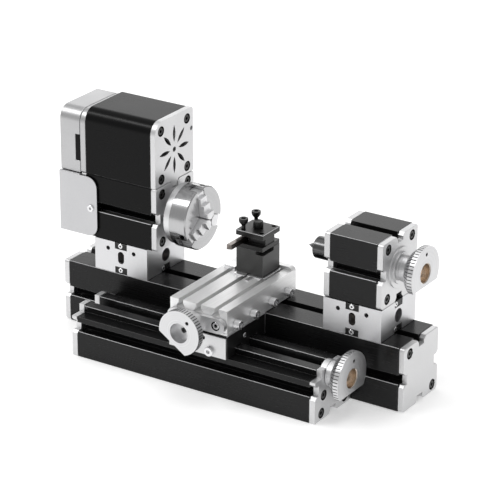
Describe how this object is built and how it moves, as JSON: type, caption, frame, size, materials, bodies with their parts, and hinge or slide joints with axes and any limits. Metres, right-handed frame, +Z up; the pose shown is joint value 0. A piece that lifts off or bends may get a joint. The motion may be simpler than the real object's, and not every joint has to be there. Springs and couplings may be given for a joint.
{
  "type": "metal lathe",
  "caption": "Small modular metal lathe with a slotted black bed, three-jaw chuck, cross slide, tool post and tailstock.",
  "frame": {"origin": "middle of the whole machine's footprint, on the bench", "axes": "+X from the headstock to the tailstock, +Y from the operator to the back of the bed, +Z up"},
  "size_m": [0.3024, 0.1284, 0.1768],
  "materials": {
    "black": "black satin anodised",
    "silver": "satin silver",
    "polished": "turned and polished",
    "oxide": "black oxide",
    "dark_steel": "ground tool steel",
    "bright_steel": "bright turned steel",
    "brass": "plain",
    "rubber": "matt"
  },
  "bodies": {
    "bed": {"bed_extrusion": "black", "bed_cover_left": "silver", "bed_cover_right": "silver", "headstock_raiser": "silver", "headstock_coupler_lower": "oxide", "headstock_coupler_upper": "oxide", "spindle_housing": "black", "spindle_cover_left": "silver", "spindle_cover_right": "silver", "spindle_bearing_front": "bright_steel", "spindle_bearing_rear": "bright_steel", "motor_housing": "black", "motor_end_plate": "silver", "motor_rear_plate": "silver", "motor_cap": "silver", "motor": "dark_steel", "belt_guard": "silver", "drive_belt": "rubber", "slide_extrusion": "black", "slide_cover_left": "silver", "slide_cover_right": "silver", "slide_coupler": "oxide"},
    "spindle": {"spindle": "bright_steel", "spindle_pulley": "bright_steel", "chuck_backplate": "polished", "chuck_body": "polished"},
    "jaw_1": {"chuck_jaw_1": "polished"},
    "jaw_2": {"chuck_jaw_2": "polished"},
    "jaw_3": {"chuck_jaw_3": "polished"},
    "motor_shaft": {"motor_pulley": "bright_steel"},
    "saddle": {"saddle": "black", "saddle_front_plate": "silver", "cross_base": "silver", "cross_bracket": "silver"},
    "slide_wheel": {"slide_handwheel": "polished", "slide_screw": "bright_steel"},
    "table": {"cross_table": "silver", "gib_strip": "bright_steel", "gib_screw_1": "bright_steel", "gib_screw_2": "bright_steel", "gib_screw_3": "bright_steel", "gib_screw_4": "bright_steel", "cross_nut": "brass", "tool_riser": "oxide", "tool_stud": "oxide"},
    "cross_wheel": {"cross_handwheel": "polished", "cross_screw": "bright_steel"},
    "tool_holder": {"tool_holder": "oxide", "tool_clamp_screw_1": "oxide", "tool_clamp_screw_2": "oxide", "tool_bit": "dark_steel"},
    "tailstock": {"tailstock_raiser": "silver", "tailstock_coupler_lower": "oxide", "tailstock_coupler_upper": "oxide", "tailstock_housing": "black", "tailstock_cover_left": "silver", "tailstock_cover_right": "silver"},
    "quill": {"quill": "dark_steel"},
    "tail_wheel": {"tailstock_handwheel": "polished", "quill_screw": "bright_steel"}
  },
  "joints": [
    {"name": "spindle_spin", "type": "hinge", "parent": "bed", "child": "spindle", "pos_m": [-0.05295, 0.0372, 0.1005], "axis": [1, 0, 0], "continuous": true},
    {"name": "motor_spin", "type": "hinge", "parent": "bed", "child": "motor_shaft", "pos_m": [-0.14095, 0.0372, 0.15], "axis": [1, 0, 0], "continuous": true},
    {"name": "jaw_1_slide", "type": "slide", "parent": "spindle", "child": "jaw_1", "axis": [0, -0.1392, 0.9903], "range_m": [0, 0.005]},
    {"name": "jaw_2_slide", "type": "slide", "parent": "spindle", "child": "jaw_2", "axis": [0, -0.788, -0.6157], "range_m": [0, 0.005]},
    {"name": "jaw_3_slide", "type": "slide", "parent": "spindle", "child": "jaw_3", "axis": [0, 0.9272, -0.3746], "range_m": [0, 0.005]},
    {"name": "saddle_slide", "type": "slide", "parent": "bed", "child": "saddle", "axis": [1, 0, 0], "range_m": [-0.023, 0.008]},
    {"name": "slide_wheel_spin", "type": "hinge", "parent": "bed", "child": "slide_wheel", "pos_m": [0.10685, -0.0158, 0.0321], "axis": [1, 0, 0], "range_deg": [-8640, 3240]},
    {"name": "table_slide", "type": "slide", "parent": "saddle", "child": "table", "axis": [0, 1, 0], "range_m": [0, 0.025]},
    {"name": "cross_wheel_spin", "type": "hinge", "parent": "saddle", "child": "cross_wheel", "pos_m": [0.00845, -0.0468, 0.0567], "axis": [0, 1, 0], "range_deg": [-360, 9360]},
    {"name": "tool_holder_swivel", "type": "hinge", "parent": "table", "child": "tool_holder", "pos_m": [0.01055, 0.0372, 0.0905], "axis": [0, 0, 1], "range_deg": [-10, 45]},
    {"name": "tailstock_slide", "type": "slide", "parent": "bed", "child": "tailstock", "axis": [1, 0, 0], "range_m": [-0.006, 0.015]},
    {"name": "quill_slide", "type": "slide", "parent": "tailstock", "child": "quill", "axis": [-1, 0, 0], "range_m": [-0.014, 0.012]},
    {"name": "tail_wheel_spin", "type": "hinge", "parent": "tailstock", "child": "tail_wheel", "pos_m": [0.13435, 0.0372, 0.1005], "axis": [-1, 0, 0], "range_deg": [-5400, 4680]}
  ],
  "couplings": [
    {"joint": "motor_spin", "follows": "spindle_spin", "ratio": 1.6557},
    {"joint": "jaw_2_slide", "follows": "jaw_1_slide", "ratio": 1},
    {"joint": "jaw_3_slide", "follows": "jaw_1_slide", "ratio": 1},
    {"joint": "slide_wheel_spin", "follows": "saddle_slide", "rad_per_m": 6283.2},
    {"joint": "cross_wheel_spin", "follows": "table_slide", "rad_per_m": 6283.2},
    {"joint": "tail_wheel_spin", "follows": "quill_slide", "rad_per_m": 6283.2}
  ]
}
